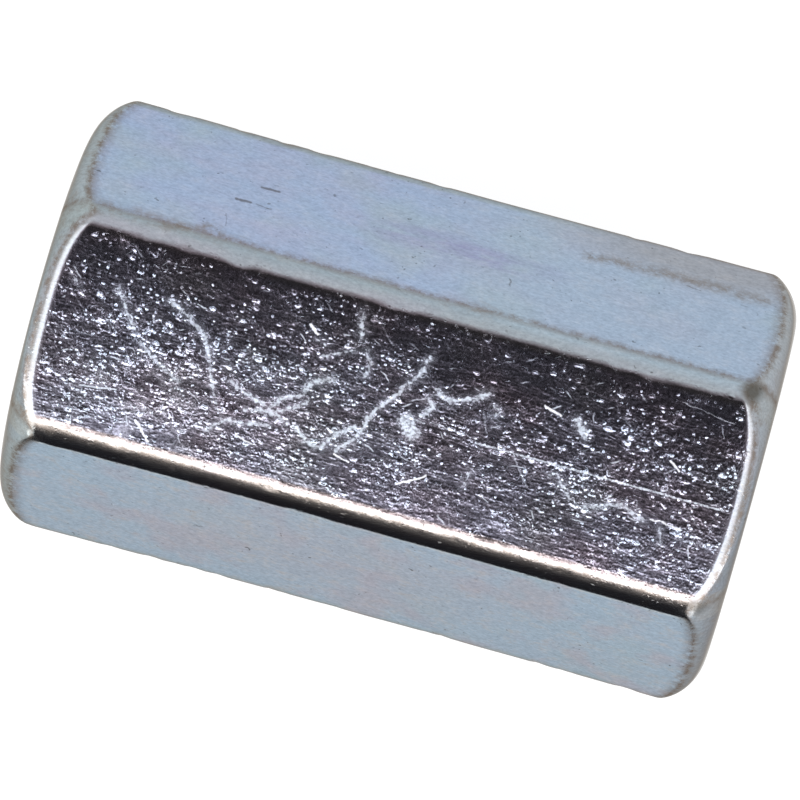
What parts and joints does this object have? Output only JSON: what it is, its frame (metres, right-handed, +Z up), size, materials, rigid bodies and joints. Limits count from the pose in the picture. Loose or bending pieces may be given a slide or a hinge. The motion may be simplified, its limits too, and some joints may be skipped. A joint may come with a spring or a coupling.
{
  "type": "coupling nut",
  "caption": "Long hexagonal steel nut with a threaded through bore that joins two threaded rods end to end.",
  "frame": {"origin": "middle of the nut, on the bore axis halfway between the end faces", "axes": "+X along the bore axis, +Z up out of the top flat, the nut lying on the opposite flat"},
  "size_m": [0.024, 0.0148, 0.013],
  "materials": {
    "zinc_plated_steel": "bright blue passivated zinc on drawn steel, handled and scuffed"
  },
  "bodies": {
    "root": {"nut_body": "zinc_plated_steel"}
  },
  "joints": []
}
